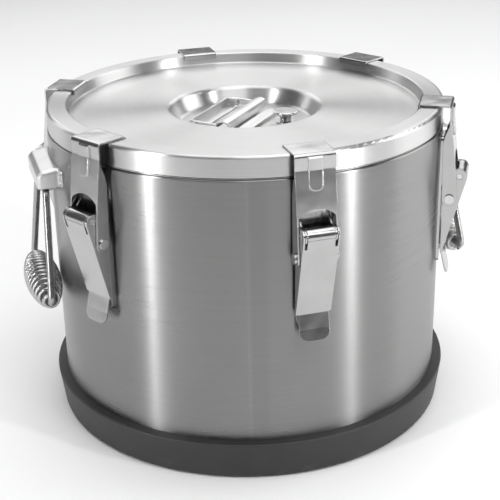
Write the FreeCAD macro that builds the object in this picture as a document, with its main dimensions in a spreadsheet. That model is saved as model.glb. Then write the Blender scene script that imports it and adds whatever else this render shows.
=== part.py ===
import FreeCAD, Part
import Sketcher
import os

# Insulated soup kettle: a double-walled stainless vessel with a lift-off lid,
# six over-centre latches round the rim, two folding bail handles, a moulded
# rubber bumper ring under the shell, and a folding lid handle and a vent
# button in the recess of the lid.  Millimetres, +Z up, origin at the centre
# of the underside of the bumper ring.  The handles lie on +X and -X.

V = FreeCAD.Vector
doc = FreeCAD.newDocument("SoupKettle")
sheet = doc.addObject("Spreadsheet::Sheet", "Sizes")

SIZES = [
    ("shell_radius", 175.0, "outer radius of the shell"),
    ("sheet_thick", 0.8, "sheet of shell, pot and liner"),
    ("shell_top", 263.0, "top of the shell flange"),
    ("shell_foot", 10.6, "lower edge of the shell"),
    ("pot_radius", 151.0, "inner radius of the pot"),
    ("pot_floor", 28.0, "underside of the pot"),
    ("pot_flange", 173.2, "radius of the pot flange"),
    ("ring_top_radius", 183.8, "bumper ring, widest radius"),
    ("ring_foot_radius", 179.3, "bumper ring, radius on the ground"),
    ("ring_bore", 160.0, "bumper ring, inner radius of the foot"),
    ("ring_height", 34.6, "bumper ring, height"),
    ("lid_radius", 174.4, "outer radius of the lid"),
    ("lid_top", 282.3, "top of the lid rim"),
    ("lid_foot", 264.6, "lower edge of the lid cover"),
    ("lid_sheet", 1.0, "sheet of the lid cover"),
    ("rim_inner", 156.7, "inner radius of the lid rim"),
    ("deck_height", 272.2, "sunk deck of the lid"),
    ("deck_radius", 155.7, "radius of the deck"),
    ("well_mouth", 66.5, "radius of the handle well at the deck"),
    ("well_radius", 59.5, "radius of the well floor"),
    ("well_floor", 257.5, "height of the well floor"),
    ("plug_radius", 148.5, "radius of the liner plug"),
    ("plug_foot", 246.0, "underside of the liner plug"),
    ("gasket_foot", 263.9, "underside of the lid gasket"),
    ("pivot_reach", 192.2, "latch pivot, distance from the axis"),
    ("pivot_height", 221.5, "latch pivot, height"),
    ("hookpin_reach", 184.4, "hook rivet, distance from the axis"),
    ("hookpin_height", 201.0, "hook rivet, height"),
    ("pin_radius", 2.5, "latch pins"),
    ("pin_bore", 2.55, "bores that turn on the latch pins"),
    ("hook_width", 33.0, "hook over the arms"),
    ("hook_inner", 30.2, "hook between the arms"),
    ("hook_top", 283.9, "top of the hook plate"),
    ("hook_lip", 5.4, "depth of the hook lip"),
    ("bead_width", 12.0, "stiffening bead of the hook"),
    ("hook_sheet", 1.4, "sheet of hook and lever"),
    ("lever_width", 29.6, "lever over the flanges"),
    ("lever_inner", 26.8, "lever between the flanges"),
    ("tongue_width", 22.4, "rolled knuckle of the lever"),
    ("knuckle_radius", 6.3, "rolled knuckle, outside"),
    ("ears_outer", 26.0, "bracket ears, outside"),
    ("ears_inner", 23.2, "bracket ears, inside"),
    ("plate_face", 177.3, "face of the latch base plate"),
    ("plate_foot", 140.0, "lower end of the latch base plate"),
    ("plate_top", 256.0, "upper end of the latch base plate"),
    ("tab_width", 25.6, "thumb tab"),
    ("bail_reach", 184.5, "bail pivot, distance from the axis"),
    ("bail_height", 223.0, "bail pivot, height"),
    ("bail_drop", 91.4, "bail pivot to grip axis"),
    ("bail_lean", 4.4, "lean of the hanging bail, degrees"),
    ("wire_radius", 3.0, "bail wire"),
    ("bail_top_half", 26.0, "half width of the bail at its pivot"),
    ("bail_low_half", 60.0, "half width of the bail at the grip"),
    ("grip_half", 52.5, "half length of the grip"),
    ("grip_waist", 16.0, "grip radius in the middle"),
    ("grip_end", 7.6, "grip radius at the ends"),
    ("hood_half", 32.0, "half width of the handle hood"),
    ("hood_flange", 38.5, "half width over the hood flanges"),
    ("hood_top", 243.2, "top of the handle hood"),
    ("hood_foot", 226.3, "lower edge of the handle hood"),
    ("vent_east", 32.8, "vent position, X"),
    ("vent_north", -16.0, "vent position, Y"),
    ("vent_head", 11.0, "vent button, head radius"),
    ("vent_top", 268.2, "vent button, top"),
    ("stem_radius", 3.0, "vent stem"),
    ("spring_wire", 0.5, "vent spring, wire radius"),
    ("handle_turn", 49.2, "lid handle, turn about the axis, degrees"),
    ("handle_pivot", 30.0, "lid handle pivot, off the centre line"),
    ("handle_axle", 262.2, "lid handle pivot, height"),
    ("handle_half", 41.6, "lid handle, half length"),
]
values = {}
for row, (alias, value, note) in enumerate(SIZES, start=1):
    sheet.set("A%d" % row, alias)
    sheet.set("B%d" % row, repr(value))
    sheet.set("C%d" % row, note)
    sheet.setAlias("B%d" % row, alias)
    values[alias] = value
doc.recompute()


class Size:
    """A number together with the sheet expression that gives it."""

    def __init__(self, value, text):
        self.value = float(value)
        self.text = text

    def __add__(self, other):
        o = size(other)
        return Size(self.value + o.value, "(%s + %s)" % (self.text, o.text))

    def __radd__(self, other):
        return size(other) + self

    def __sub__(self, other):
        o = size(other)
        return Size(self.value - o.value, "(%s - %s)" % (self.text, o.text))

    def __rsub__(self, other):
        return size(other) - self

    def __mul__(self, other):
        o = size(other)
        return Size(self.value * o.value, "(%s * %s)" % (self.text, o.text))

    def __rmul__(self, other):
        return size(other) * self

    def __neg__(self):
        return Size(-self.value, "(0 - %s)" % self.text)


def size(x):
    if isinstance(x, Size):
        return x
    return Size(x, "%.6f" % x if x >= 0 else "(0 - %.6f)" % -x)


class Names:
    def __getattr__(self, alias):
        return Size(values[alias], "Sizes." + alias)


D = Names()
nodes = []


def origin_plane(body, role):
    for feature in body.Origin.OriginFeatures:
        if feature.Role == role:
            return feature
    raise ValueError(role)


def new_body(label):
    body = doc.addObject("PartDesign::Body", label)
    body.Label = label
    nodes.append(body)
    return body


def new_sketch(body, name, role, shift=None):
    sk = body.newObject("Sketcher::SketchObject", name)
    sk.AttachmentSupport = [(origin_plane(body, role), "")]
    sk.MapMode = "FlatFace"
    if shift is not None:
        sk.AttachmentOffset = FreeCAD.Placement(V(shift[0].value, shift[1].value, 0), FreeCAD.Rotation())
        sk.setExpression("AttachmentOffset.Base.x", shift[0].text)
        sk.setExpression("AttachmentOffset.Base.y", shift[1].text)
    return sk


def bind_point(sk, geo, end, x, y):
    x, y = size(x), size(y)
    if abs(x.value) < 1e-9:
        sk.addConstraint(Sketcher.Constraint("PointOnObject", geo, end, -2))
    else:
        i = sk.addConstraint(Sketcher.Constraint("DistanceX", -1, 1, geo, end, x.value))
        sk.setExpression("Constraints[%d]" % i, x.text)
    if abs(y.value) < 1e-9:
        sk.addConstraint(Sketcher.Constraint("PointOnObject", geo, end, -1))
    else:
        i = sk.addConstraint(Sketcher.Constraint("DistanceY", -1, 1, geo, end, y.value))
        sk.setExpression("Constraints[%d]" % i, y.text)


def outline(sk, points, closed=True):
    """Straight-sided outline with every corner tied to the sheet."""
    pts = [(size(a), size(b)) for a, b in points]
    n = len(pts)
    count = n if closed else n - 1
    for i in range(count):
        a, b = pts[i], pts[(i + 1) % n]
        sk.addGeometry(Part.LineSegment(V(a[0].value, a[1].value, 0), V(b[0].value, b[1].value, 0)), False)
    for i in range(count):
        if i + 1 < count or closed:
            sk.addConstraint(Sketcher.Constraint("Coincident", i, 2, (i + 1) % count, 1))
    for i in range(n):
        if i < count:
            bind_point(sk, i, 1, *pts[i])
        else:
            bind_point(sk, i - 1, 2, *pts[i])


def circle(sk, x, y, radius):
    x, y, radius = size(x), size(y), size(radius)
    g = sk.addGeometry(Part.Circle(V(x.value, y.value, 0), V(0, 0, 1), radius.value), False)
    bind_point(sk, g, 3, x, y)
    i = sk.addConstraint(Sketcher.Constraint("Radius", g, radius.value))
    sk.setExpression("Constraints[%d]" % i, radius.text)
    return g


def pad(body, sk, width, name="Pad"):
    f = body.newObject("PartDesign::Pad", name)
    f.Profile = sk
    f.Midplane = True
    width = size(width)
    f.Length = width.value
    f.setExpression("Length", width.text)
    sk.Visibility = False
    doc.recompute()
    return f


def pocket(body, sk, width=None, name="Pocket"):
    before = body.Shape.Volume
    f = body.newObject("PartDesign::Pocket", name)
    f.Profile = sk
    f.Midplane = True
    if width is None:
        f.Type = 1
    else:
        width = size(width)
        f.Length = width.value
        f.setExpression("Length", width.text)
    doc.recompute()
    if body.Shape.Volume > before - 1e-3:
        raise RuntimeError("%s %s cuts nothing" % (body.Label, name))
    return f


def revolve(body, sk, axis="V_Axis", name="Revolution"):
    f = body.newObject("PartDesign::Revolution", name)
    f.Profile = sk
    f.ReferenceAxis = (sk, [axis])
    f.Angle = 360.0
    doc.recompute()
    return f


def ring_edges(feature, places, tol=0.05):
    """Circular edges about Z at given (radius, height)."""
    found = []
    for r, z in places:
        r, z = size(r).value, size(z).value
        hit = None
        for i, e in enumerate(feature.Shape.Edges, start=1):
            c = e.Curve
            if isinstance(c, Part.Circle) and abs(c.Radius - r) < tol and abs(c.Center.z - z) < tol:
                hit = "Edge%d" % i
        if hit is None:
            raise RuntimeError("no ring edge at r %.2f z %.2f" % (r, z))
        found.append(hit)
    return found


def near_edges(feature, places, tol=0.2):
    """Edges whose middle lies at given points."""
    found = []
    for place in places:
        p = V(*[size(c).value for c in place])
        best, name = tol, None
        for i, e in enumerate(feature.Shape.Edges, start=1):
            a, b = e.ParameterRange
            d = e.valueAt((a + b) / 2).distanceToPoint(p)
            if d < best:
                best, name = d, "Edge%d" % i
        if name is None:
            raise RuntimeError("no edge near %r" % (p,))
        found.append(name)
    return found


def fillet(body, edges, radius, name="Fillet"):
    base = body.Tip
    f = body.newObject("PartDesign::Fillet", name)
    f.Base = (base, edges)
    radius = size(radius)
    f.Radius = radius.value
    f.setExpression("Radius", radius.text)
    doc.recompute()
    return f


def bore_shell(body):
    """Hollow the back of a fitting to the round of the shell."""
    f = body.newObject("PartDesign::SubtractiveCylinder", "ShellRound")
    f.Radius = D.shell_radius.value
    f.setExpression("Radius", "Sizes.shell_radius")
    f.Height = 400.0
    doc.recompute()
    return f


def turn(body, degrees):
    body.Placement = FreeCAD.Placement(V(0, 0, 0), FreeCAD.Rotation(V(0, 0, 1), degrees))


def spun(label, points, rounds=()):
    """Sheet or moulded piece spun about Z from its section."""
    body = new_body(label)
    sk = new_sketch(body, "Section", "XZ_Plane")
    outline(sk, points)
    f = revolve(body, sk)
    for radius, places in rounds:
        fillet(body, ring_edges(body.Tip, places), radius)
    return body


# ---------------------------------------------------------------- vessel
t = D.sheet_thick
spun("outer_shell", [
    (D.shell_radius - t, D.shell_foot), (D.shell_radius, D.shell_foot),
    (D.shell_radius, D.shell_top), (D.pot_radius + 2.0, D.shell_top),
    (D.pot_radius + 2.0, D.shell_top - t), (D.shell_radius - t, D.shell_top - t)],
    [(1.5, [(D.shell_radius, D.shell_top)]), (0.7, [(D.shell_radius - t, D.shell_top - t)])])

spun("outer_bottom", [
    (0, D.shell_foot), (D.shell_radius - t, D.shell_foot), (D.shell_radius - t, D.shell_foot + 13.4),
    (D.shell_radius - t * 2, D.shell_foot + 13.4), (D.shell_radius - t * 2, D.shell_foot + t),
    (0, D.shell_foot + t)])

spun("inner_pot", [
    (0, D.pot_floor), (D.pot_radius + t, D.pot_floor), (D.pot_radius + t, D.shell_top),
    (D.pot_flange, D.shell_top), (D.pot_flange, D.shell_top + t), (D.pot_radius, D.shell_top + t),
    (D.pot_radius, D.pot_floor + t), (0, D.pot_floor + t)],
    [(12.8, [(D.pot_radius + t, D.pot_floor)]), (12.0, [(D.pot_radius, D.pot_floor + t)]),
     (1.5, [(D.pot_radius, D.shell_top + t)])])

spun("body_foam", [
    (0, D.shell_foot + t), (D.shell_radius - t * 2, D.shell_foot + t),
    (D.shell_radius - t * 2, D.shell_foot + 13.4), (D.shell_radius - t, D.shell_foot + 13.4),
    (D.shell_radius - t, D.shell_top - 2.0), (D.pot_radius + t, D.shell_top - 2.0),
    (D.pot_radius + t, D.pot_floor), (0, D.pot_floor)],
    [(12.8, [(D.pot_radius + t, D.pot_floor)])])

spun("base_ring", [
    (D.ring_bore, 0), (D.ring_foot_radius, 0), (D.ring_top_radius, D.ring_height),
    (D.shell_radius, D.ring_height), (D.shell_radius, D.shell_foot), (D.ring_bore, D.shell_foot)],
    [(4.0, [(D.ring_foot_radius, 0)]), (1.6, [(D.ring_top_radius, D.ring_height)])])

# ------------------------------------------------------------------- lid
k = D.lid_sheet
cover = spun("lid_cover", [
    (0, D.well_floor), (D.well_radius, D.well_floor), (D.well_mouth, D.deck_height),
    (D.deck_radius, D.deck_height), (D.rim_inner, D.lid_top), (D.lid_radius, D.lid_top),
    (D.lid_radius, D.lid_foot), (D.lid_radius - k, D.lid_foot), (D.lid_radius - k, D.lid_top - k),
    (D.rim_inner + 0.9, D.lid_top - k), (D.deck_radius + 0.9, D.deck_height - k),
    (D.well_mouth + 0.6, D.deck_height - k), (D.well_radius + 0.6, D.well_floor - k),
    (0, D.well_floor - k)],
    [(5.0, [(D.well_mouth, D.deck_height)]), (4.0, [(D.well_mouth + 0.6, D.deck_height - k)]),
     (3.0, [(D.well_radius, D.well_floor)]), (4.0, [(D.well_radius + 0.6, D.well_floor - k)]),
     (3.0, [(D.lid_radius, D.lid_top)]), (2.0, [(D.lid_radius - k, D.lid_top - k)]),
     (1.5, [(D.rim_inner, D.lid_top)]), (1.5, [(D.deck_radius, D.deck_height)])])
sk = new_sketch(cover, "VentHole", "XY_Plane")
circle(sk, D.vent_east, D.vent_north, 5.0)
pocket(cover, sk)

liner = spun("lid_liner", [
    (0, D.plug_foot), (D.plug_radius, D.plug_foot), (D.plug_radius, D.lid_foot),
    (D.lid_radius - k, D.lid_foot), (D.lid_radius - k, D.lid_foot + t),
    (D.plug_radius - t, D.lid_foot + t), (D.plug_radius - t, D.plug_foot + t), (0, D.plug_foot + t)],
    [(5.0, [(D.plug_radius, D.plug_foot)]), (4.2, [(D.plug_radius - t, D.plug_foot + t)])])
sk = new_sketch(liner, "VentHole", "XY_Plane")
circle(sk, D.vent_east, D.vent_north, 5.0)
pocket(liner, sk)

foam = spun("lid_foam", [
    (0, D.plug_foot + 1.0), (D.plug_radius - 6.0, D.plug_foot + 1.0), (D.plug_radius - 2.0, D.plug_foot + 5.0),
    (D.plug_radius - 2.0, D.lid_foot + 1.0), (D.lid_radius - 2.4, D.lid_foot + 1.0),
    (D.lid_radius - 2.4, D.lid_top - 4.0), (D.rim_inner + 2.6, D.lid_top - 4.0),
    (D.deck_radius + 2.4, D.deck_height - 2.2), (D.well_mouth + 3.2, D.deck_height - 2.2),
    (D.well_radius + 3.2, D.well_floor - 2.2), (0, D.well_floor - 2.2)])
sk = new_sketch(foam, "VentHole", "XY_Plane")
circle(sk, D.vent_east, D.vent_north, 5.2)
pocket(foam, sk)

spun("lid_gasket", [
    (D.pot_radius + 3.0, D.gasket_foot), (D.lid_radius - 0.5, D.gasket_foot),
    (D.lid_radius - 0.5, D.lid_foot), (D.pot_radius + 3.0, D.lid_foot)])

# Vent: flanged seat, sprung button on a stem, rubber seal under the liner.
vent_at = FreeCAD.Placement(V(D.vent_east.value, D.vent_north.value, 0), FreeCAD.Rotation())
seat = spun("vent_seat", [
    (D.stem_radius + 0.06, D.plug_foot), (5.0, D.plug_foot), (5.0, D.well_floor),
    (8.4, D.well_floor), (8.4, D.well_floor + 1.2), (D.stem_radius + 0.06, D.well_floor + 1.2)])
button = spun("vent_button", [
    (0, D.plug_foot - 4.0), (D.stem_radius, D.plug_foot - 4.0), (D.stem_radius, D.vent_top - 2.2),
    (D.vent_head, D.vent_top - 2.2), (D.vent_head, D.vent_top), (0, D.vent_top)],
    [(0.9, [(D.vent_head, D.vent_top)])])
seal = spun("vent_seal", [
    (D.stem_radius, D.plug_foot - 3.2), (9.0, D.plug_foot - 3.2), (9.0, D.plug_foot - 0.2),
    (D.stem_radius, D.plug_foot - 0.2)])
for piece in (seat, button, seal):
    piece.Placement = vent_at

spring = new_body("vent_spring")
sk = new_sketch(spring, "Wire", "XZ_Plane")
circle(sk, D.stem_radius + 1.7, 0, D.spring_wire)
doc.recompute()
coil = spring.newObject("PartDesign::AdditiveHelix", "Coil")
coil.Profile = sk
coil.ReferenceAxis = (sk, ["V_Axis"])
coil.Mode = 0
spring_high = D.vent_top - 2.2 - D.well_floor - 1.2
coil.Pitch = 1.6
coil.Height = (spring_high - 1.2).value
coil.setExpression("Height", (spring_high - 1.2).text)
coil.setExpression("Pitch", (spring_high * 0.22).text)
doc.recompute()
spring.Placement = FreeCAD.Placement(V(D.vent_east.value, D.vent_north.value, (D.well_floor + 1.8).value), FreeCAD.Rotation())

# Folding lid handle: bracket strip with two ears, two pins, a strap handle
# with a half-round grip, and a pressed rest under its free side.
hp, ha, hh = D.handle_pivot, D.handle_axle, D.handle_half
lug = new_body("lid_handle_bracket")
sk = new_sketch(lug, "Side", "YZ_Plane")
outline(sk, [(hp - 6.0, D.well_floor), (hp + 6.0, D.well_floor), (hp + 6.0, ha + 3.2), (hp - 6.0, ha + 3.2)])
pad(lug, sk, hh * 2 - 6.0)
sk = new_sketch(lug, "Hollow", "YZ_Plane")
outline(sk, [(hp - 8.0, D.well_floor + 1.3), (hp + 4.7, D.well_floor + 1.3), (hp + 4.7, ha + 8.0), (hp - 8.0, ha + 8.0)])
pocket(lug, sk, hh * 2 - 9.0)
fillet(lug, near_edges(lug.Tip, [(hh - 3.75, hp - 6.0, ha + 3.2), (-1 * (hh - 3.75), hp - 6.0, ha + 3.2)]), 3.0)
sk = new_sketch(lug, "PinHole", "YZ_Plane")
circle(sk, hp, ha, 1.5)
pocket(lug, sk)

handle = new_body("lid_handle")
sk = new_sketch(handle, "Grip", "YZ_Plane")
gy, gz = D.handle_pivot - 27.0, D.handle_axle - 0.8
outer = [(gy - 7.5, gz), (gy - 6.9, gz + 3.2), (gy - 4.8, gz + 5.6), (gy - 1.6, gz + 6.8),
         (gy + 1.6, gz + 6.8), (gy + 4.8, gz + 5.6), (gy + 6.9, gz + 3.2), (gy + 7.5, gz)]
inner = [(gy + 6.1, gz), (gy + 5.6, gz + 2.6), (gy + 3.9, gz + 4.5), (gy + 1.3, gz + 5.4),
         (gy - 1.3, gz + 5.4), (gy - 3.9, gz + 4.5), (gy - 5.6, gz + 2.6), (gy - 6.1, gz)]
outline(sk, outer + inner)
pad(handle, sk, hh * 2)
fillet(handle, near_edges(handle.Tip, [(0, p[0], p[1]) for p in outer[1:-1]]), 1.3)
sk = new_sketch(handle, "Arms", "YZ_Plane")
outline(sk, [(gy + 6.4, ha - 0.8), (hp + 3.6, ha - 3.6), (hp + 3.6, ha + 3.6), (gy + 6.4, ha + 2.6)])
arms = pad(handle, sk, hh * 2)
sk = new_sketch(handle, "BetweenArms", "YZ_Plane")
outline(sk, [(gy + 7.6, ha - 9.0), (hp + 9.0, ha - 9.0), (hp + 9.0, ha + 9.0), (gy + 7.6, ha + 9.0)])
pocket(handle, sk, hh * 2 - 4.8)
fillet(handle, near_edges(handle.Tip, [(sx * (hh - 1.2), hp + 3.6, ha + sz * 3.6) for sx in (-1, 1) for sz in (-1, 1)]), 3.2)
sk = new_sketch(handle, "PinHole", "YZ_Plane")
circle(sk, hp, ha, 1.56)
pocket(handle, sk)

rest = new_body("lid_handle_rest")
sk = new_sketch(rest, "Side", "YZ_Plane")
outline(sk, [(-6.4, D.well_floor), (-6.4, D.well_floor + 3.4), (-19.0, D.well_floor + 3.4), (-19.0, D.well_floor)])
pad(rest, sk, 62.0)
fillet(rest, near_edges(rest.Tip, [(0, -6.4, D.well_floor + 3.4), (0, -19.0, D.well_floor + 3.4)]), 1.6)

pins = doc.addObject("Part::Compound", "lid_handle_pins")
pins.Label = "lid_handle_pins"
parts_of_pins = []
for side in (-1, 1):
    stem = doc.addObject("Part::Cylinder", "PinStem")
    stem.Radius = 1.5
    stem.Height = 7.2
    stem.setExpression("Height", "7.2")
    head = doc.addObject("Part::Cylinder", "PinHead")
    head.Radius = 2.9
    head.Height = 1.2
    x0 = values["handle_half"]
    rot = FreeCAD.Rotation(V(0, 1, 0), 90 * side)
    stem.Placement = FreeCAD.Placement(V(side * (x0 - 6.0), values["handle_pivot"], values["handle_axle"]), rot)
    head.Placement = FreeCAD.Placement(V(side * (x0 + 0.3), values["handle_pivot"], values["handle_axle"]), rot)
    stem.setExpression("Placement.Base.x", "%d * (Sizes.handle_half - 6.0)" % side)
    stem.setExpression("Placement.Base.y", "Sizes.handle_pivot")
    stem.setExpression("Placement.Base.z", "Sizes.handle_axle")
    head.setExpression("Placement.Base.x", "%d * (Sizes.handle_half + 0.3)" % side)
    head.setExpression("Placement.Base.y", "Sizes.handle_pivot")
    head.setExpression("Placement.Base.z", "Sizes.handle_axle")
    pin = doc.addObject("Part::Fuse", "Pin")
    pin.Base = stem
    pin.Tool = head
    parts_of_pins.append(pin)
pins.Links = parts_of_pins
nodes.append(pins)
for piece in (lug, handle, rest, pins):
    turn(piece, D.handle_turn.value)

# ---------------------------------------------------------------- latches
# Drawn on the +Y side and turned about Z; latch 1 faces -Y.
px, pz, qx, qz = D.pivot_reach, D.pivot_height, D.hookpin_reach, D.hookpin_height


def latch_bracket(index, angle):
    body = new_body("latch_bracket_%d" % index)
    sk = new_sketch(body, "Plate", "YZ_Plane")
    outline(sk, [(D.shell_radius - 4.0, D.plate_foot), (D.plate_face, D.plate_foot),
                 (D.plate_face, D.plate_top), (D.shell_radius - 4.0, D.plate_top)])
    pad(body, sk, D.ears_outer)
    half = D.ears_outer * 0.5
    fillet(body, near_edges(body.Tip, [(sx * half, (D.shell_radius - 4.0 + D.plate_face) * 0.5, z)
                                       for sx in (-1, 1) for z in (D.plate_foot, D.plate_top)]), 4.0)
    sk = new_sketch(body, "Ears", "YZ_Plane")
    outline(sk, [(D.plate_face - 1.0, pz - 9.5), (px, pz - 6.0), (px + 6.0, pz - 6.0), (px + 6.0, pz + 6.0),
                 (px - 6.0, pz + 6.0), (D.plate_face - 1.0, pz + 16.0)])
    pad(body, sk, D.ears_outer)
    fillet(body, near_edges(body.Tip, [(0, px + 6.0, pz - 6.0), (0, px + 6.0, pz + 6.0)]), 5.7)
    sk = new_sketch(body, "BetweenEars", "YZ_Plane")
    outline(sk, [(D.plate_face, pz - 30.0), (px + 12.0, pz - 30.0), (px + 12.0, pz + 30.0), (D.plate_face, pz + 30.0)])
    pocket(body, sk, D.ears_inner)
    sk = new_sketch(body, "PinHole", "YZ_Plane")
    circle(sk, px, pz, D.pin_radius)
    pocket(body, sk)
    sk = new_sketch(body, "RivetHoles", "XZ_Plane")
    circle(sk, 0, D.plate_foot + 12.0, 2.0)
    circle(sk, 0, D.plate_top - 8.0, 2.0)
    pocket(body, sk)
    bore_shell(body)
    turn(body, angle)


def latch_lever(index, angle):
    body = new_body("lever_%d" % index)
    sk = new_sketch(body, "Side", "YZ_Plane")
    outline(sk, [(px - 5.8, pz + 6.3), (px + 6.3, pz + 6.3), (px + 6.3, pz - 1.5), (px - 1.3, pz - 30.5),
                 (px - 12.0, pz - 71.5), (px - 13.4, pz - 71.5), (px - 13.6, pz - 62.0), (px - 13.6, pz - 16.0),
                 (px - 7.4, pz - 7.0)])
    pad(body, sk, D.lever_width)
    fillet(body, near_edges(body.Tip, [(0, px + 6.3, pz + 6.3)]), 6.0)
    fillet(body, near_edges(body.Tip, [(0, px - 5.8, pz + 6.3)]), 5.0)
    fillet(body, near_edges(body.Tip, [(0, px - 13.6, pz - 16.0)]), 5.0)
    sk = new_sketch(body, "Hollow", "YZ_Plane")
    outline(sk, [(px - 22.0, pz - 73.5), (px - 14.0, pz - 73.5), (px - 2.7, pz - 30.2), (px + 4.9, pz - 1.5),
                 (px + 7.5, pz - 1.5), (px + 7.5, pz + 14.0), (px - 22.0, pz + 14.0)])
    pocket(body, sk, D.lever_inner)
    sk = new_sketch(body, "Slots", "XZ_Plane")
    a, b = D.tongue_width * 0.5, D.lever_inner * 0.5
    outline(sk, [(a, pz - 9.0), (b, pz - 9.0), (b, pz + 5.0), (a, pz + 5.0)])
    pocket(body, sk, name="SlotRight")
    sk = new_sketch(body, "Slots", "XZ_Plane")
    outline(sk, [(-b, pz - 9.0), (-a, pz - 9.0), (-a, pz + 5.0), (-b, pz + 5.0)])
    pocket(body, sk, name="SlotLeft")
    sk = new_sketch(body, "Knuckle", "YZ_Plane")
    circle(sk, px, pz, D.knuckle_radius)
    pad(body, sk, D.tongue_width, "RolledKnuckle")
    sk = new_sketch(body, "Tab", "YZ_Plane")
    outline(sk, [(px - 13.5, pz - 71.0), (px - 12.1, pz - 71.3), (px - 9.0, pz - 84.0), (px - 6.4, pz - 93.6),
                 (px - 7.8, pz - 94.0), (px - 10.4, pz - 84.3)])
    pad(body, sk, D.tab_width, "ThumbTab")
    fillet(body, near_edges(body.Tip, [(sx * D.tab_width * 0.5, px - 7.1, pz - 93.8) for sx in (-1, 1)]), 7.5)
    sk = new_sketch(body, "PivotBore", "YZ_Plane")
    circle(sk, px, pz, D.pin_bore)
    pocket(body, sk)
    sk = new_sketch(body, "HookBore", "YZ_Plane")
    circle(sk, qx, qz, D.pin_bore)
    pocket(body, sk)
    turn(body, angle)


def latch_hook(index, angle):
    body = new_body("hook_%d" % index)
    c = D.hook_sheet
    top = D.hook_top
    sk = new_sketch(body, "Side", "YZ_Plane")
    outline(sk, [(153.9, top - D.hook_lip), (153.9, top), (183.0, top), (183.0, top - 12.9), (187.2, top - 44.4),
                 (188.9, top - 57.9), (qx + 6.5, qz), (qx + 6.5, qz - 6.5), (qx - 6.5, qz - 6.5),
                 (qx - 6.6, qz + 10.0), (qx - 7.8, qz + 49.6), (qx - 6.0, qz + 57.0), (183.0 - c, top - 18.0),
                 (183.0 - c, top - c), (153.9 + c, top - c), (153.9 + c, top - D.hook_lip)])
    pad(body, sk, D.hook_width)
    fillet(body, near_edges(body.Tip, [(0, 183.0, top)]), 3.0)
    fillet(body, near_edges(body.Tip, [(0, 183.0 - c, top - c)]), 1.6)
    fillet(body, near_edges(body.Tip, [(0, 153.9, top)]), 2.0)
    fillet(body, near_edges(body.Tip, [(0, 153.9 + c, top - c)]), 0.8)
    fillet(body, near_edges(body.Tip, [(0, qx + 6.5, qz - 6.5), (0, qx - 6.5, qz - 6.5)]), 6.2)
    fillet(body, near_edges(body.Tip, [(0, qx - 7.8, qz + 49.6), (0, qx - 6.0, qz + 57.0)]), 8.0)
    sk = new_sketch(body, "Hollow", "YZ_Plane")
    outline(sk, [(170.0, qz - 12.0), (193.0, qz - 12.0), (188.9 - c, top - 57.9), (187.2 - c, top - 44.4),
                 (183.0 - c, top - 12.9), (183.0 - c, top - 18.0), (170.0, top - 24.0)])
    pocket(body, sk, D.hook_inner)
    sk = new_sketch(body, "Arch", "XZ_Plane")
    b = D.hook_inner * 0.5
    low, mid, high = qz - 12.0, top - 49.5, top - 43.0
    p1, p2, p3 = V(b.value, mid.value, 0), V(0, high.value, 0), V(-b.value, mid.value, 0)
    sk.addGeometry(Part.LineSegment(V(-b.value, mid.value, 0), V(-b.value, low.value, 0)), False)
    sk.addGeometry(Part.LineSegment(V(-b.value, low.value, 0), V(b.value, low.value, 0)), False)
    sk.addGeometry(Part.LineSegment(V(b.value, low.value, 0), V(b.value, mid.value, 0)), False)
    sk.addGeometry(Part.Arc(p1, p2, p3), False)
    for i in range(2):
        sk.addConstraint(Sketcher.Constraint("Coincident", i, 2, i + 1, 1))
    shape = sk.Geometry[3]
    first = 1 if abs(shape.StartPoint.x - b.value) < 1e-6 else 2
    sk.addConstraint(Sketcher.Constraint("Coincident", 2, 2, 3, first))
    sk.addConstraint(Sketcher.Constraint("Coincident", 0, 1, 3, 3 - first))
    bind_point(sk, 0, 1, -b, mid)
    bind_point(sk, 1, 1, -b, low)
    bind_point(sk, 1, 2, b, low)
    bind_point(sk, 2, 2, b, mid)
    sk.addConstraint(Sketcher.Constraint("Radius", 3, shape.Radius))
    pocket(body, sk, name="ArchCut")
    sk = new_sketch(body, "Bead", "YZ_Plane")
    outline(sk, [(182.0, top - 1.9), (184.7, top - 3.8), (184.7, top - 12.7), (186.9, top - 29.3),
                 (184.3, top - 29.3), (182.1, top - 12.9)])
    pad(body, sk, D.bead_width, "Bead")
    half = D.bead_width * 0.5
    fillet(body, near_edges(body.Tip, [(half * sx, 186.05, top - 29.3) for sx in (-1, 1)], 0.5), 5.0)
    fillet(body, near_edges(body.Tip, [(half * sx, 184.7, top - 8.25) for sx in (-1, 1)] +
                            [(half * sx, 185.45, top - 18.5) for sx in (-1, 1)], 1.2), 1.2)
    sk = new_sketch(body, "RivetBore", "YZ_Plane")
    circle(sk, qx, qz, D.pin_radius)
    pocket(body, sk)
    turn(body, angle)


def cylinder(name, radius, length, x, y, z, axis):
    c = doc.addObject("Part::Cylinder", name)
    radius, length, x, y, z = [size(q) for q in (radius, length, x, y, z)]
    c.Radius, c.Height = radius.value, length.value
    c.setExpression("Radius", radius.text)
    c.setExpression("Height", length.text)
    rot = FreeCAD.Rotation(V(0, 0, 1), axis)
    c.Placement = FreeCAD.Placement(V(x.value, y.value, z.value), rot)
    for name, q in (("x", x), ("y", y), ("z", z)):
        c.setExpression("Placement.Base." + name, q.text)
    return c


def fuse(name, pieces):
    f = doc.addObject("Part::MultiFuse", name)
    f.Shapes = pieces
    return f


def hook_rivet(index, angle):
    """Rivet through both hook arms, with a head outside each."""
    half = D.hook_width * 0.5
    stem = cylinder("RivetStem", D.pin_radius, D.hook_width, -half, qx, qz, V(1, 0, 0))
    left = cylinder("RivetHeadLeft", 4.2, 1.6, -half - 1.6, qx, qz, V(1, 0, 0))
    right = cylinder("RivetHeadRight", 4.2, 1.6, half, qx, qz, V(1, 0, 0))
    rivet = fuse("hook_rivet_%d" % index, [stem, left, right])
    rivet.Label = "hook_rivet_%d" % index
    nodes.append(rivet)
    turn(rivet, angle)


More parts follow.
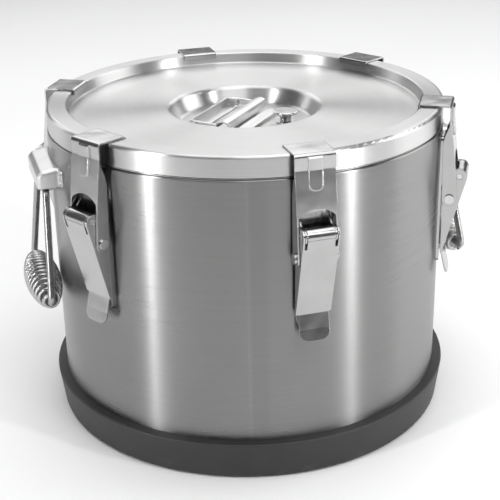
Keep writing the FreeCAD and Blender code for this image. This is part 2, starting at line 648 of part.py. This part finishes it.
for i in range(6):
    angle = 180.0 + 60.0 * i
    latch_bracket(i + 1, angle)
    latch_lever(i + 1, angle)
    latch_hook(i + 1, angle)
    hook_rivet(i + 1, angle)

latch_pins, latch_rivets = [], []
for i in range(6):
    pin = cylinder("LatchPin", D.pin_radius, 29.2, -14.6, px, pz, V(1, 0, 0))
    holder = doc.addObject("Part::Compound", "LatchPinAt")
    holder.Links = [pin]
    turn(holder, 60.0 * i)
    latch_pins.append(holder)
    low = cylinder("PlateRivetLow", 2.0, 3.3, 0, D.shell_radius, D.plate_foot + 12.0, V(0, 1, 0))
    high = cylinder("PlateRivetHigh", 2.0, 3.3, 0, D.shell_radius, D.plate_top - 8.0, V(0, 1, 0))
    holder = doc.addObject("Part::Compound", "PlateRivetsAt")
    holder.Links = [low, high]
    turn(holder, 60.0 * i)
    latch_rivets.append(holder)
for label, links in (("latch_pivot_pins", latch_pins), ("latch_plate_rivets", latch_rivets)):
    group = doc.addObject("Part::Compound", label)
    group.Label = label
    group.Links = links
    nodes.append(group)

# ------------------------------------------------------------ bail handles
hood_angle = {"right": -90.0, "left": 90.0}
bx, bz = D.bail_reach, D.bail_height


def handle_bracket(side):
    body = new_body("handle_bracket_" + side)
    sk = new_sketch(body, "Side", "YZ_Plane")
    outline(sk, [(165.0, D.hood_top), (177.2, D.hood_top), (188.0, D.hood_top - 2.0), (191.6, D.hood_top - 6.0),
                 (191.6, D.hood_foot), (165.0, D.hood_foot)])
    pad(body, sk, D.hood_half * 2)
    fillet(body, near_edges(body.Tip, [(0, 191.6, D.hood_top - 6.0), (0, 188.0, D.hood_top - 2.0)]), 3.0)
    e = D.hood_half
    low, high = D.hood_foot, D.hood_top
    fillet(body, near_edges(body.Tip, [(e * sx, 191.6, (low + high) * 0.5 - 3.8) for sx in (-1, 1)], 2.0), 3.4)
    sk = new_sketch(body, "Hollow", "YZ_Plane")
    outline(sk, [(160.0, D.hood_top - 1.5), (177.0, D.hood_top - 1.5), (187.3, D.hood_top - 3.4), (190.1, D.hood_top - 6.6),
                 (190.1, D.hood_foot - 5.0), (160.0, D.hood_foot - 5.0)])
    pocket(body, sk, D.hood_half * 2 - 3.0)
    sk = new_sketch(body, "Lugs", "YZ_Plane")
    outline(sk, [(165.0, D.hood_top - 1.0), (182.0, D.hood_top - 1.0), (bx + 5.0, bz + 5.0), (bx + 5.0, bz - 5.0),
                 (bx - 5.0, bz - 5.0), (165.0, bz - 2.0)])
    pad(body, sk, 26.0, "Lugs")
    fillet(body, near_edges(body.Tip, [(0, bx + 5.0, bz - 5.0)]), 4.5)
    sk = new_sketch(body, "BetweenLugs", "YZ_Plane")
    outline(sk, [(160.0, D.hood_top - 1.5), (177.0, D.hood_top - 1.5), (187.3, D.hood_top - 3.4), (190.05, D.hood_top - 6.6),
                 (190.05, bz - 9.0), (160.0, bz - 9.0)])
    pocket(body, sk, 22.0)
    sk = new_sketch(body, "BailBore", "YZ_Plane")
    circle(sk, bx, bz, D.wire_radius + 0.06)
    pocket(body, sk)
    # welding flanges beside the hood, following the round of the shell
    lift = (D.hood_top + D.hood_foot) * 0.5
    for sign, name in ((-1, "FlangeLeft"), (1, "FlangeRight")):
        sk = new_sketch(body, name, "XY_Plane")
        sk.AttachmentOffset = FreeCAD.Placement(V(0, 0, lift.value), FreeCAD.Rotation())
        sk.setExpression("AttachmentOffset.Base.z", lift.text)
        a, b, c = D.hood_half - 1.0, D.hood_half + 3.0, D.hood_flange
        outline(sk, [(a * sign, D.shell_radius - 8.0), (c * sign, D.shell_radius - 8.0), (c * sign, D.shell_radius - 2.98),
                     (b * sign, D.shell_radius - 2.12), (a * sign, D.shell_radius - 1.35)])
        pad(body, sk, D.hood_top - D.hood_foot - 1.6, name)
        mid = D.shell_radius - 5.5
        fillet(body, near_edges(body.Tip, [(c * sign, mid, lift + z * 0.5) for z in
                                           (D.hood_top - D.hood_foot - 1.6, -1 * (D.hood_top - D.hood_foot - 1.6))]), 3.0)
    sk = new_sketch(body, "RivetHoles", "XZ_Plane")
    for sign in (-1, 1):
        for z in (D.hood_foot + 4.6, D.hood_top - 4.6):
            circle(sk, (D.hood_half + 3.2) * sign, z, 1.5)
    pocket(body, sk)
    bore_shell(body)
    turn(body, hood_angle[side])


def bail(side):
    """Bent wire bail, drawn hanging in the plane Y = 0 below its pivot."""
    body = new_body(side + "_bail")
    path = new_sketch(body, "Path", "XZ_Plane")
    drop, wide, low = D.bail_drop, D.bail_top_half, D.bail_low_half
    outline(path, [(1.0, -drop), (low, -drop), (wide, 0.0), (-wide, 0.0), (-low, -drop), (-1.0, -drop)], closed=False)
    for first, second, bend in ((0, 1, 5.0), (1, 2, 7.0), (2, 3, 7.0), (3, 4, 5.0)):
        path.fillet(first, second, corner_point(path, first, 2), corner_point(path, second, 1), bend, True, True)
    doc.recompute()
    section = new_sketch(body, "WireSection", "YZ_Plane")
    g = section.addGeometry(Part.Circle(V(0, -drop.value, 0), V(0, 0, 1), D.wire_radius.value), False)
    bind_point(section, g, 3, 0, -drop)
    i = section.addConstraint(Sketcher.Constraint("Radius", g, D.wire_radius.value))
    section.setExpression("Constraints[%d]" % i, D.wire_radius.text)
    section.AttachmentOffset = FreeCAD.Placement(V(0, 0, 1.0), FreeCAD.Rotation())
    doc.recompute()
    pipe = body.newObject("PartDesign::AdditivePipe", "BentWire")
    pipe.Profile = section
    pipe.Spine = (path, ["Edge%d" % (n + 1) for n in range(len(path.Shape.Edges))])
    doc.recompute()
    place_bail(body, side)


def corner_point(sk, geo, end):
    line = sk.Geometry[geo]
    a, b = V(line.StartPoint), V(line.EndPoint)
    return b + (a - b) * 0.2 if end == 2 else a + (b - a) * 0.2


def place_bail(obj, side):
    lean = FreeCAD.Placement(V(0, D.bail_reach.value, D.bail_height.value), FreeCAD.Rotation(V(1, 0, 0), D.bail_lean.value))
    spin = FreeCAD.Placement(V(0, 0, 0), FreeCAD.Rotation(V(0, 0, 1), hood_angle[side]))
    obj.Placement = spin.multiply(lean)


def grip(side):
    body = new_body(side + "_grip")
    sk = new_sketch(body, "Section", "XZ_Plane", (size(0.0), -D.bail_drop))
    e, r0, r1 = D.grip_half, D.grip_end, D.grip_waist
    outline(sk, [(-e, D.wire_radius), (-e, r0), (e * -0.75, r0 + 3.4), (e * -0.45, r0 + 6.5), (e * -0.15, r1), (e * 0.15, r1),
                 (e * 0.45, r0 + 6.5), (e * 0.75, r0 + 3.4), (e, r0), (e, D.wire_radius)])
    revolve(body, sk, "H_Axis")
    place_bail(body, side)


hood_rivets = []
for side in ("left", "right"):
    handle_bracket(side)
    bail(side)
    grip(side)
    for sign in (-1, 1):
        for z in (D.hood_foot + 4.6, D.hood_top - 4.6):
            dot = cylinder("HoodRivet", 1.5, 1.7, (D.hood_half + 3.2) * sign, D.shell_radius - 3.3, z, V(0, 1, 0))
            holder = doc.addObject("Part::Compound", "HoodRivetAt")
            holder.Links = [dot]
            turn(holder, hood_angle[side])
            hood_rivets.append(holder)
group = doc.addObject("Part::Compound", "handle_bracket_rivets")
group.Label = "handle_bracket_rivets"
group.Links = hood_rivets
nodes.append(group)

# ------------------------------------------------------------------ write
doc.recompute()
faults = []
for obj in doc.Objects:
    if "Invalid" in obj.State or "Error" in obj.State:
        faults.append("%s (%s): %s" % (obj.Name, obj.Label, obj.State))
for node in nodes:
    shape = node.Shape
    if shape.isNull() or not shape.isValid() or not shape.Solids:
        faults.append("%s has no good shape" % node.Label)
if faults:
    raise RuntimeError("; ".join(faults))
os.makedirs("parts", exist_ok=True)
for node in nodes:
    node.Shape.exportStep("parts/%s.step" % node.Label)
print(len(nodes), "sub-parts written")
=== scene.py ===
import bpy
import math
from mathutils import Matrix, Vector


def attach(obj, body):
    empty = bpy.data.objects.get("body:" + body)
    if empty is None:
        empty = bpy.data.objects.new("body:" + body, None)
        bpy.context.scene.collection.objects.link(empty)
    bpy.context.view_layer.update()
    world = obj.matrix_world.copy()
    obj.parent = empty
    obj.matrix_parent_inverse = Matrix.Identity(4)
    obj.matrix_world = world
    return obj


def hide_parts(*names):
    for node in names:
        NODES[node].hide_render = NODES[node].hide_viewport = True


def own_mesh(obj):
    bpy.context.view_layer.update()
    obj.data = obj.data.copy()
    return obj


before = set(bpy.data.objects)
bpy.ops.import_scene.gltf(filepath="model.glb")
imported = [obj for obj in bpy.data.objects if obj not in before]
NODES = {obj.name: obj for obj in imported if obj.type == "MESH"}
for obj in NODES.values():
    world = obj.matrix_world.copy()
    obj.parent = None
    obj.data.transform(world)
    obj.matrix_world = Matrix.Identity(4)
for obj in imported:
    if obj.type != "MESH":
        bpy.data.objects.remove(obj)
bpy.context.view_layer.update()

SHELL_R = 0.175
CAM_AZ = -16.5


# ---------------------------------------------------------------- node tools
class Graph:
    """A material and a few short words for its nodes."""

    def __init__(self, name):
        self.mat = bpy.data.materials.new(name)
        self.mat.use_nodes = True
        self.tree = self.mat.node_tree
        self.tree.nodes.clear()
        self.out = self.tree.nodes.new("ShaderNodeOutputMaterial")
        self.bsdf = self.tree.nodes.new("ShaderNodeBsdfPrincipled")
        self.tree.links.new(self.bsdf.outputs[0], self.out.inputs[0])
        self.coord = self.tree.nodes.new("ShaderNodeTexCoord").outputs["Object"]

    def node(self, kind, **kw):
        n = self.tree.nodes.new(kind)
        for k, v in kw.items():
            setattr(n, k, v)
        return n

    def link(self, a, b):
        self.tree.links.new(a, b)

    def feed(self, socket, value):
        if hasattr(value, "is_output"):
            self.link(value, socket)
        else:
            socket.default_value = value

    def math(self, op, a, b=None, c=None, clamp=False):
        n = self.node("ShaderNodeMath", operation=op, use_clamp=clamp)
        self.feed(n.inputs[0], a)
        if b is not None:
            self.feed(n.inputs[1], b)
        if c is not None:
            self.feed(n.inputs[2], c)
        return n.outputs[0]

    def xyz(self):
        n = self.node("ShaderNodeSeparateXYZ")
        self.link(self.coord, n.inputs[0])
        return n.outputs

    def vector(self, x, y, z):
        n = self.node("ShaderNodeCombineXYZ")
        for i, v in enumerate((x, y, z)):
            self.feed(n.inputs[i], v)
        return n.outputs[0]

    def noise(self, vec, scale, detail=3.0, rough=0.55):
        n = self.node("ShaderNodeTexNoise")
        self.link(vec, n.inputs["Vector"])
        n.inputs["Scale"].default_value = scale
        n.inputs["Detail"].default_value = detail
        n.inputs["Roughness"].default_value = rough
        return n.outputs["Fac"]

    def spread(self, value, lo, hi, a=0.3, b=0.7, smooth=False):
        n = self.node("ShaderNodeMapRange", clamp=True)
        if smooth:
            n.interpolation_type = "SMOOTHSTEP"
        self.link(value, n.inputs["Value"])
        n.inputs["From Min"].default_value = a
        n.inputs["From Max"].default_value = b
        n.inputs["To Min"].default_value = lo
        n.inputs["To Max"].default_value = hi
        return n.outputs[0]

    def blend(self, fac, a, b):
        n = self.node("ShaderNodeMix", data_type="RGBA")
        self.feed(n.inputs[0], fac)
        self.feed(n.inputs[6], a)
        self.feed(n.inputs[7], b)
        return n.outputs[2]

    def bump(self, height, strength, distance, normal=None):
        n = self.node("ShaderNodeBump")
        n.inputs["Strength"].default_value = strength
        n.inputs["Distance"].default_value = distance
        self.link(height, n.inputs["Height"])
        if normal is not None:
            self.link(normal, n.inputs["Normal"])
        return n.outputs[0]

    def edge(self, radius):
        n = self.node("ShaderNodeBevel", samples=4)
        n.inputs["Radius"].default_value = radius
        return n.outputs[0]

    def set(self, **kw):
        for k, v in kw.items():
            self.feed(self.bsdf.inputs[k.replace("_", " ")], v)


def grey(v, warm=0.0):
    return (v * (1 + warm), v, v * (1 - warm), 1.0)


# ---------------------------------------------------------------- materials
def turned_steel(name, light, rough, aniso, seam=False, fine=1.0, edge=0.0006):
    """Sheet steel brushed round the axis: fine lines follow the circumference."""
    g = Graph(name)
    x, y, z = g.xyz()
    r = g.math("SQRT", g.math("ADD", g.math("MULTIPLY", x, x), g.math("MULTIPLY", y, y)))
    across = g.math("ADD", r, z)
    fine_lines = g.noise(g.vector(g.math("MULTIPLY", x, 22.0), g.math("MULTIPLY", y, 22.0), g.math("MULTIPLY", across, 1500.0 * fine)), 1.0, 2.0)
    coarse = g.noise(g.vector(g.math("MULTIPLY", x, 7.0), g.math("MULTIPLY", y, 7.0), g.math("MULTIPLY", across, 260.0 * fine)), 1.0, 3.0)
    cloud = g.noise(g.coord, 9.0, 3.0)
    specks = g.noise(g.coord, 420.0, 1.0)
    lines = g.math("ADD", g.math("MULTIPLY", fine_lines, 0.6), g.math("MULTIPLY", coarse, 0.4))
    tone = g.spread(lines, 0.0, 1.0, 0.36, 0.64)
    colour = g.blend(tone, grey(light * 0.96, 0.004), grey(light * 1.03, 0.002))
    colour_cloud = g.blend(g.spread(cloud, 0.0, 0.35, 0.35, 0.75), colour, grey(light * 0.88, 0.008))
    rub = g.math("ADD", g.spread(lines, rough - 0.02, rough + 0.02), g.spread(cloud, -0.02, 0.03))
    rub = g.math("ADD", rub, g.spread(specks, 0.0, 0.06, 0.66, 0.74))
    height = lines
    if seam:
        # welded joint of the rolled sheet: a narrow planished line
        turn = g.math("ARCTAN2", y, x)
        off = g.math("MULTIPLY", g.math("ADD", turn, math.radians(106.6)), SHELL_R)
        line = g.spread(g.math("ABSOLUTE", off), 1.0, 0.0, 0.0005, 0.0016, True)
        band = g.math("MULTIPLY", g.spread(off, 0.0, 1.0, 0.001, 0.004, True), g.spread(off, 1.0, 0.0, 0.012, 0.020, True))
        ragged = g.noise(g.vector(g.math("MULTIPLY", x, 260.0), g.math("MULTIPLY", y, 260.0), g.math("MULTIPLY", z, 260.0)), 1.0, 2.0)
        colour_cloud = g.blend(g.math("MULTIPLY", band, 0.22), colour_cloud, grey(light * 0.70, 0.004))
        colour_cloud = g.blend(g.math("MULTIPLY", line, g.spread(ragged, 0.15, 0.45)), colour_cloud, grey(light * 1.15))
        height = g.math("ADD", height, g.math("MULTIPLY", line, 1.4))
    g.set(Base_Color=colour_cloud, Roughness=rub, Metallic=1.0, Anisotropic=aniso)
    g.bsdf.inputs["Anisotropic Rotation"].default_value = 0.25
    tangent = g.node("ShaderNodeTangent", direction_type="RADIAL", axis="Z")
    g.link(tangent.outputs[0], g.bsdf.inputs["Tangent"])
    g.link(g.bump(height, 0.05, 0.00004, g.edge(edge)), g.bsdf.inputs["Normal"])
    return g.mat


def pressed_steel(name, light, rough, grain=(900.0, 900.0, 60.0), edge=0.0005, dent=0.16):
    """Polished pressing: soft press waviness, faint drawn grain, rounded edges."""
    g = Graph(name)
    x, y, z = g.xyz()
    drawn = g.noise(g.vector(g.math("MULTIPLY", x, grain[0]), g.math("MULTIPLY", y, grain[1]), g.math("MULTIPLY", z, grain[2])), 1.0, 2.0)
    wave = g.noise(g.coord, 38.0, 1.0)
    smear = g.noise(g.coord, 60.0, 3.0)
    colour = g.blend(g.spread(smear, 0.0, 1.0), grey(light * 0.95, 0.004), grey(light * 1.03, 0.002))
    rub = g.math("ADD", g.spread(drawn, rough - 0.02, rough + 0.03), g.spread(smear, 0.0, 0.03, 0.45, 0.75))
    g.set(Base_Color=colour, Roughness=rub, Metallic=1.0)
    height = g.math("ADD", g.math("MULTIPLY", wave, 1.0), g.math("MULTIPLY", drawn, 0.02))
    g.link(g.bump(height, dent, 0.0012, g.edge(edge)), g.bsdf.inputs["Normal"])
    return g.mat


def wire_steel(name, light, rough):
    g = Graph(name)
    fine = g.noise(g.coord, 1500.0, 2.0)
    broad = g.noise(g.coord, 90.0, 3.0)
    colour = g.blend(g.spread(broad, 0.0, 1.0), grey(light * 0.86, 0.004), grey(light * 1.06))
    g.set(Base_Color=colour, Roughness=g.math("ADD", g.spread(fine, rough - 0.04, rough + 0.06), g.spread(broad, -0.02, 0.05)), Metallic=1.0)
    g.link(g.bump(fine, 0.05, 0.00003), g.bsdf.inputs["Normal"])
    return g.mat


def moulded_rubber(name, dark, rough, scuffs=True):
    g = Graph(name)
    x, y, z = g.xyz()
    pebble = g.noise(g.coord, 900.0, 3.0)
    cloud = g.noise(g.coord, 14.0, 4.0)
    dust = g.noise(g.coord, 60.0, 5.0, 0.65)
    colour = g.blend(g.spread(cloud, 0.0, 1.0, 0.3, 0.7), grey(dark, 0.01), grey(dark * 1.5, 0.015))
    if scuffs:
        low = g.spread(z, 1.0, 0.12, 0.001, 0.016, True)
        rub = g.math("MULTIPLY", g.spread(dust, 0.0, 1.0, 0.55, 0.72), low)
        colour = g.blend(g.math("MULTIPLY", rub, 0.5), colour, grey(dark * 4.0, 0.03))
    g.set(Base_Color=colour, Roughness=g.math("ADD", g.spread(pebble, rough - 0.05, rough + 0.06), g.spread(cloud, -0.04, 0.05)))
    g.bsdf.inputs["Specular IOR Level"].default_value = 0.45
    g.link(g.bump(pebble, 0.30, 0.0002, g.edge(0.0008)), g.bsdf.inputs["Normal"])
    return g.mat


def cell_foam(name):
    g = Graph(name)
    cells = g.node("ShaderNodeTexVoronoi")
    g.link(g.coord, cells.inputs["Vector"])
    cells.inputs["Scale"].default_value = 900.0
    cloud = g.noise(g.coord, 40.0, 3.0)
    colour = g.blend(g.spread(cloud, 0.0, 1.0), (0.74, 0.64, 0.38, 1), (0.82, 0.74, 0.50, 1))
    g.set(Base_Color=colour, Roughness=g.spread(cells.outputs["Distance"], 0.8, 0.95, 0.0, 0.6))
    g.link(g.bump(cells.outputs["Distance"], 0.4, 0.0004), g.bsdf.inputs["Normal"])
    return g.mat


SHELL = turned_steel("shell_brushed", 0.275, 0.29, 0.95, seam=True)
LID = turned_steel("lid_brushed", 0.60, 0.34, 0.88, fine=0.8)
POT = turned_steel("pot_satin", 0.58, 0.32, 0.7, fine=1.3)
LATCH = pressed_steel("latch_polished", 0.49, 0.17, dent=0.40, edge=0.0008)
HOOD = pressed_steel("hood_polished", 0.66, 0.30, dent=0.16, edge=0.0026)
STRAP = pressed_steel("strap_satin", 0.70, 0.32, (60.0, 60.0, 60.0), dent=0.05)
PIN = pressed_steel("pin_polished", 0.66, 0.18, (90.0, 90.0, 90.0), dent=0.05)
WIRE = wire_steel("wire_bright", 0.42, 0.27)
COIL = wire_steel("coil_bright", 0.48, 0.22)
RING = moulded_rubber("ring_rubber", 0.021, 0.50)
SEAL = moulded_rubber("seal_rubber", 0.012, 0.55, scuffs=False)
FOAM = cell_foam("foam_cells")

LOOKS = {
    "outer_shell": SHELL, "outer_bottom": SHELL, "inner_pot": POT, "body_foam": FOAM, "base_ring": RING,
    "lid_cover": LID, "lid_liner": POT, "lid_foam": FOAM, "lid_gasket": SEAL, "vent_seal": SEAL,
    "lid_handle": STRAP, "lid_handle_bracket": STRAP, "lid_handle_rest": STRAP, "lid_handle_pins": PIN,
    "vent_seat": PIN, "vent_button": PIN, "latch_pivot_pins": PIN, "latch_plate_rivets": PIN,
    "handle_bracket_rivets": PIN, "handle_bracket_left": HOOD, "handle_bracket_right": HOOD,
    "left_bail": WIRE, "right_bail": WIRE, "vent_spring": COIL, "left_grip": COIL, "right_grip": COIL,
}
for name, obj in NODES.items():
    look = LOOKS.get(name)
    if look is None:
        look = PIN if name.startswith("hook_rivet") else LATCH
    obj.data.materials.clear()
    obj.data.materials.append(look)


# ---------------------------------------------------------------- coils
def tube_along(name, points, radius, sides=10, mat=None):
    """Round wire swept along a line of points, with closed rounded ends."""
    pts = [Vector(p) for p in points]
    verts, faces = [], []
    tangents = []
    for i, p in enumerate(pts):
        a = pts[max(i - 1, 0)]
        b = pts[min(i + 1, len(pts) - 1)]
        tangents.append((b - a).normalized())
    up = tangents[0].orthogonal().normalized()
    for i, p in enumerate(pts):
        t = tangents[i]
        up = (up - t * up.dot(t)).normalized()
        side = t.cross(up)
        for s in range(sides):
            a = 2 * math.pi * s / sides
            verts.append(p + (up * math.cos(a) + side * math.sin(a)) * radius)
    for i in range(len(pts) - 1):
        for s in range(sides):
            a = i * sides + s
            b = i * sides + (s + 1) % sides
            faces.append((a, b, b + sides, a + sides))
    for end, sign in ((0, -1), (len(pts) - 1, 1)):
        verts.append(pts[end] + tangents[end] * radius * 0.5 * sign)
        tip = len(verts) - 1
        for s in range(sides):
            a = end * sides + s
            b = end * sides + (s + 1) % sides
            faces.append((a, tip, b) if sign > 0 else (b, tip, a))
    mesh = bpy.data.meshes.new(name)
    mesh.from_pydata([tuple(v) for v in verts], [], faces)
    mesh.update()
    for p in mesh.polygons:
        p.use_smooth = True
    obj = bpy.data.objects.new(name, mesh)
    bpy.context.scene.collection.objects.link(obj)
    mesh.materials.append(mat)
    return obj


GRIP_HALF, DROP, REACH, HEIGHT, LEAN = 0.0524, 0.0914, 0.1845, 0.2230, math.radians(4.4)


def coil_grip(side, spin):
    """Barrel-shaped grip wound from one wire round the bail."""
    place = Matrix.Rotation(math.radians(spin), 4, "Z") @ Matrix.Translation((0, REACH, HEIGHT)) @ Matrix.Rotation(LEAN, 4, "X")
    wire = 0.0018
    turns, steps = 14.5, 40
    inner, middle = 0.0031 + wire, 0.0159 - wire
    points = []
    total = int(turns * steps)
    for i in range(total + 1):
        f = i / total
        u = 2 * f - 1
        belly = max(0.0, 1 - abs(u) ** 2.1)
        radius = 0.0058 + (middle - 0.0058) * belly
        # the last half turn at each end closes on the bail wire
        close = min(f, 1 - f) * turns / 0.6
        if close < 1:
            radius = inner + (radius - inner) * close
        s = (GRIP_HALF - wire) * u
        a = 2 * math.pi * turns * f
        points.append(place @ Vector((s, radius * math.sin(a), -DROP + radius * math.cos(a))))
    grip = tube_along(side + "_coil_grip", points, wire, 12, COIL)
    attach(grip, side + "_handle")
    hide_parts(side + "_grip")


coil_grip("right", -90.0)
coil_grip("left", 90.0)

VENT = Vector((0.0328, -0.0160, 0.0))
low, high = 0.2593, 0.2654
spring_points = []
for i in range(0, 5 * 28 + 1):
    f = i / (5 * 28)
    a = 2 * math.pi * 5 * f
    ease = 0.08 * f if f < 0.1 else (0.008 + (f - 0.1) * 1.23 if f < 0.9 else 1 - 0.08 * (1 - f))
    spring_points.append((VENT.x + 0.0047 * math.cos(a), VENT.y + 0.0047 * math.sin(a), low + (high - low) * min(1.0, max(0.0, ease))))
vent_coil = tube_along("vent_coil", spring_points, 0.0005, 10, COIL)
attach(vent_coil, "lid")
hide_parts("vent_spring")
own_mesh(vent_coil)

# ---------------------------------------------------------------- floor
floor_mesh = bpy.data.meshes.new("floor")
floor_mesh.from_pydata([(-6, -6, 0), (6, -6, 0), (6, 6, 0), (-6, 6, 0)], [], [(0, 1, 2, 3)])
floor = bpy.data.objects.new("floor", floor_mesh)
bpy.context.scene.collection.objects.link(floor)
floor.location.z = -0.0004
g = Graph("floor_pale")
haze = g.noise(g.coord, 1.4, 3.0)
g.set(Base_Color=g.blend(g.spread(haze, 0.0, 1.0), (0.88, 0.88, 0.88, 1), (0.90, 0.90, 0.90, 1)), Roughness=g.spread(haze, 0.62, 0.7))
g.bsdf.inputs["Specular IOR Level"].default_value = 0.2
floor_mesh.materials.append(g.mat)


# ---------------------------------------------------------------- light
def around(az, elevation, distance, centre=(0, 0, 0.14)):
    a, e = math.radians(az), math.radians(elevation)
    return Vector(centre) + Vector((math.sin(a) * math.cos(e), -math.cos(a) * math.cos(e), math.sin(e))) * distance


def softbox(name, az, elevation, distance, wide, tall, power, centre=(0, 0, 0.14)):
    data = bpy.data.lights.new(name, "AREA")
    data.shape = "RECTANGLE"
    data.size, data.size_y = wide, tall
    data.energy = power
    obj = bpy.data.objects.new(name, data)
    bpy.context.scene.collection.objects.link(obj)
    obj.location = around(CAM_AZ + az, elevation, distance, centre)
    look = Vector(centre) - obj.location
    obj.rotation_euler = look.to_track_quat("-Z", "Y").to_euler()
    return obj


softbox("left_strip", -52, 14, 1.7, 0.07, 1.5, 15)
softbox("right_strip", 56, 14, 1.7, 0.08, 1.5, 13)
softbox("right_wide", 104, 20, 2.0, 1.2, 1.4, 15)
softbox("left_wide", -124, 20, 2.0, 0.6, 1.4, 4)
softbox("back_panel", 180, 36, 2.6, 3.4, 1.5, 28)
softbox("top_panel", 0, 88, 2.6, 2.4, 2.4, 40)
softbox("front_top", 12, 62, 2.2, 1.6, 1.0, 13, (0.25, -0.6, 0.0))

world = bpy.data.worlds.new("studio")
bpy.context.scene.world = world
world.use_nodes = True
wt = world.node_tree
wt.nodes.clear()
background = wt.nodes.new("ShaderNodeBackground")
background.inputs["Color"].default_value = (0.98, 0.99, 1.0, 1)
background.inputs["Strength"].default_value = 0.11
world_out = wt.nodes.new("ShaderNodeOutputWorld")
wt.links.new(background.outputs[0], world_out.inputs[0])

# ---------------------------------------------------------------- camera
data = bpy.data.cameras.new("camera")
camera = bpy.data.objects.new("camera", data)
bpy.context.scene.collection.objects.link(camera)
data.sensor_width = 36.0
data.lens = 82.16
data.shift_x = 0.0046
data.clip_start, data.clip_end = 0.05, 50.0
target = Vector((0, 0, 0.13165))
spot = around(CAM_AZ, 23.14, 1.0709, target)
forward = (target - spot).normalized()
right = forward.cross(Vector((0, 0, 1))).normalized()
up = right.cross(forward)
roll = math.radians(-1.14)
right2 = right * math.cos(roll) + up * math.sin(roll)
up2 = up * math.cos(roll) - right * math.sin(roll)
camera.matrix_world = Matrix((
    (right2.x, up2.x, -forward.x, spot.x),
    (right2.y, up2.y, -forward.y, spot.y),
    (right2.z, up2.z, -forward.z, spot.z),
    (0, 0, 0, 1)))
bpy.context.scene.camera = camera
bpy.context.scene.view_settings.view_transform = "Standard"
